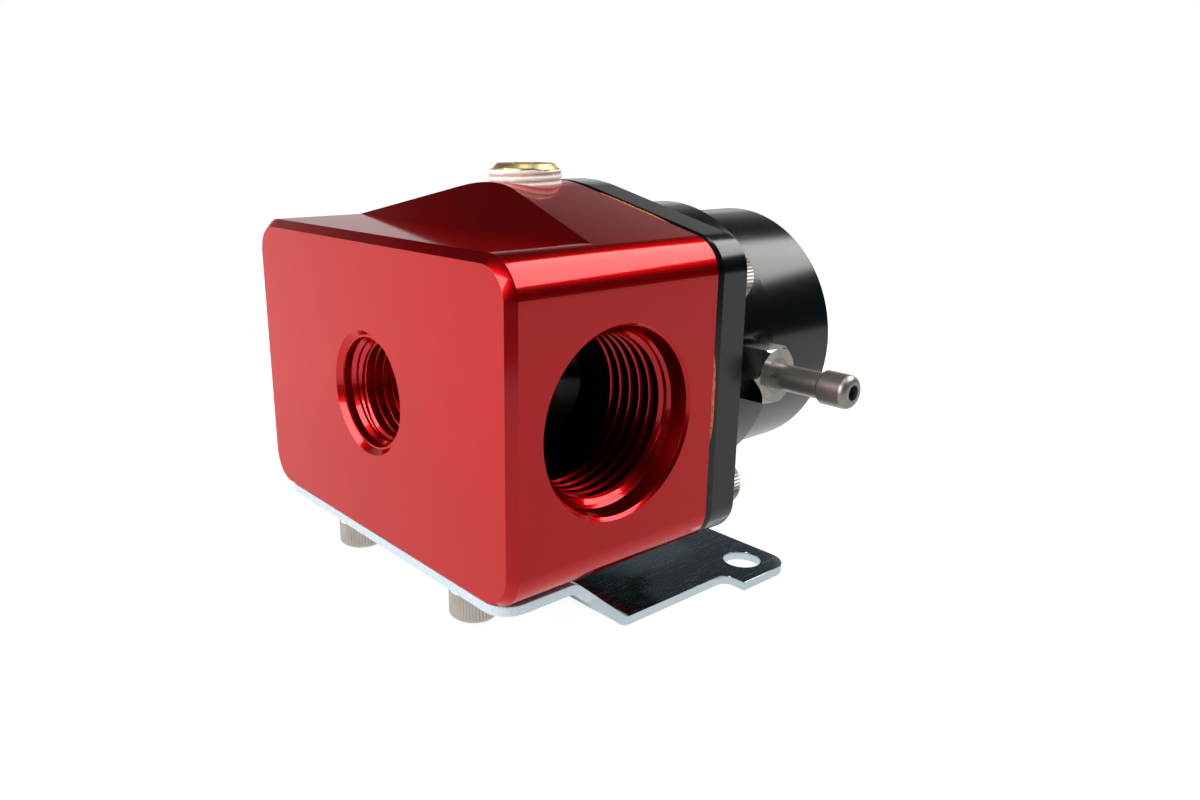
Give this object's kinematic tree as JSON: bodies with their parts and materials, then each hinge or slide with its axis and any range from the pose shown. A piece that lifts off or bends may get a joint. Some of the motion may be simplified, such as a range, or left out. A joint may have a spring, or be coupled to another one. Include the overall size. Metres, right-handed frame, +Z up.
{
  "type": "fuel pressure regulator",
  "caption": "Bypass fuel pressure regulator: chamfered metal block with threaded inlet and return ports, a round spring cover with adjusting screw, a boost nipple and a joggled bracket.",
  "frame": {"origin": "midway between the two mounting holes of the bracket, on the underside of its foot", "axes": "+X across the inlet ports towards the boost nipple, +Y backwards along the regulator axis towards the adjusting screw, +Z up"},
  "size_m": [0.0743, 0.089, 0.0598],
  "materials": {
    "red_anodised": "satin red anodised billet",
    "black_anodised": "glossy black anodised, turned",
    "brass": "bright turned brass",
    "black_rubber": "fuel resistant rubber",
    "orange_diaphragm": "cut edge of a rubberised fabric sheet",
    "plain_steel": "machined steel",
    "spring_steel": "drawn spring wire",
    "polished_steel": "polished bearing ball",
    "black_steel": "black oxide steel",
    "nickel_screw": "stainless with a knurled head",
    "nickel_fitting": "brushed nickel plate",
    "white_tape": "white thread sealing tape",
    "zinc_sheet": "bright zinc plated sheet steel"
  },
  "bodies": {
    "regulator": {"body": "red_anodised", "valve_seat": "brass", "seat_o_ring": "black_rubber", "diaphragm": "orange_diaphragm", "regulator_spring": "spring_steel", "jam_nut_seal_washer": "plain_steel", "cover": "black_anodised", "cover_screws": "nickel_screw", "gauge_port_plug": "brass", "plug_thread_tape": "white_tape", "vacuum_nipple": "nickel_fitting", "bracket": "zinc_sheet", "bracket_screws": "nickel_screw", "bracket_flat_washers": "zinc_sheet", "bracket_lock_washers": "plain_steel"},
    "valve_stack": {"valve_disc": "black_rubber", "diaphragm_stud": "plain_steel", "diaphragm_fuel_plate": "plain_steel", "diaphragm_spring_plate": "plain_steel", "diaphragm_washer": "plain_steel", "diaphragm_nut": "plain_steel"},
    "spring_follower": {"spring_seat": "plain_steel", "thrust_ball": "polished_steel"},
    "adjuster": {"adjusting_screw": "black_steel"},
    "lock_nut": {"jam_nut": "plain_steel"}
  },
  "joints": [
    {"name": "valve_lift", "type": "slide", "parent": "regulator", "child": "valve_stack", "axis": [0, 1, 0], "range_m": [0, 0.0015], "stiffness_N_per_m": 2000, "springref_m": -0.002, "deforming": ["diaphragm", "regulator_spring"]},
    {"name": "follower_slide", "type": "slide", "parent": "regulator", "child": "spring_follower", "axis": [0, 1, 0], "range_m": [-0.00106, 0.00106], "deforming": ["regulator_spring"]},
    {"name": "screw_turn", "type": "hinge", "parent": "spring_follower", "child": "adjuster", "pos_m": [0, 0.0279, 0.03013], "axis": [0, 1, 0], "range_deg": [-360, 360], "deforming": ["regulator_spring"]},
    {"name": "jam_nut_turn", "type": "hinge", "parent": "regulator", "child": "lock_nut", "pos_m": [0, 0.0279, 0.03013], "axis": [0, 1, 0], "range_deg": [0, 180]}
  ],
  "couplings": [
    {"joint": "screw_turn", "follows": "follower_slide", "rad_per_m": 5936}
  ]
}
